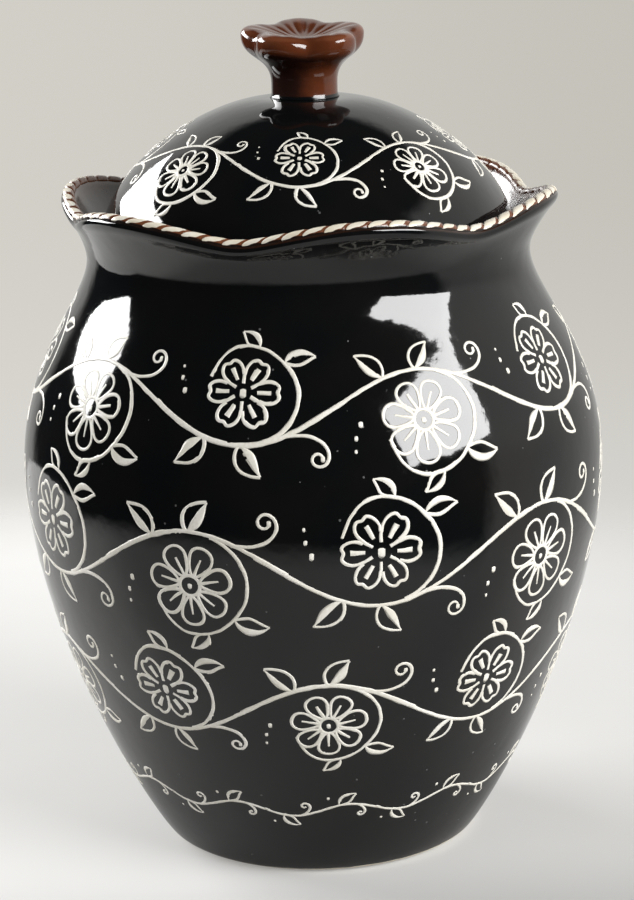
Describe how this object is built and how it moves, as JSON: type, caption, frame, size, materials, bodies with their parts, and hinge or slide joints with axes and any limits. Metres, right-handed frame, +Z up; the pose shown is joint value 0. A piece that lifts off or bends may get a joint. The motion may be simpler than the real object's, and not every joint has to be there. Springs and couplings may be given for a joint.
{
  "type": "kitchen canister",
  "caption": "Round-bellied glazed ceramic canister with a ruffled, rope-edged lip, raised pale vine linework and a domed lid with a flower knob and seal that lifts out of the neck.",
  "frame": {"origin": "centre of the foot ring's underside, on the surface that the canister stands on", "axes": "+Z up along the jar's axis, -Y towards the front of the picture, +X to the right"},
  "size_m": [0.2028, 0.203, 0.286],
  "materials": {
    "black_glaze": "gloss",
    "rope_glaze": "gloss",
    "brown_glaze": "gloss",
    "silicone": "satin"
  },
  "bodies": {
    "jar": {"jar_body": "black_glaze", "rim_rope": "rope_glaze"},
    "seal": {"lid_seal": "silicone"},
    "lid": {"lid_dome": "black_glaze", "lid_knob": "brown_glaze"}
  },
  "joints": [
    {"name": "lid_lift", "type": "slide", "parent": "jar", "child": "seal", "axis": [0, 0, 1], "range_m": [0, 0.15]},
    {"name": "lid_turn", "type": "hinge", "parent": "seal", "child": "lid", "pos_m": [0, 0, 0.2], "axis": [0, 0, 1], "continuous": true}
  ]
}
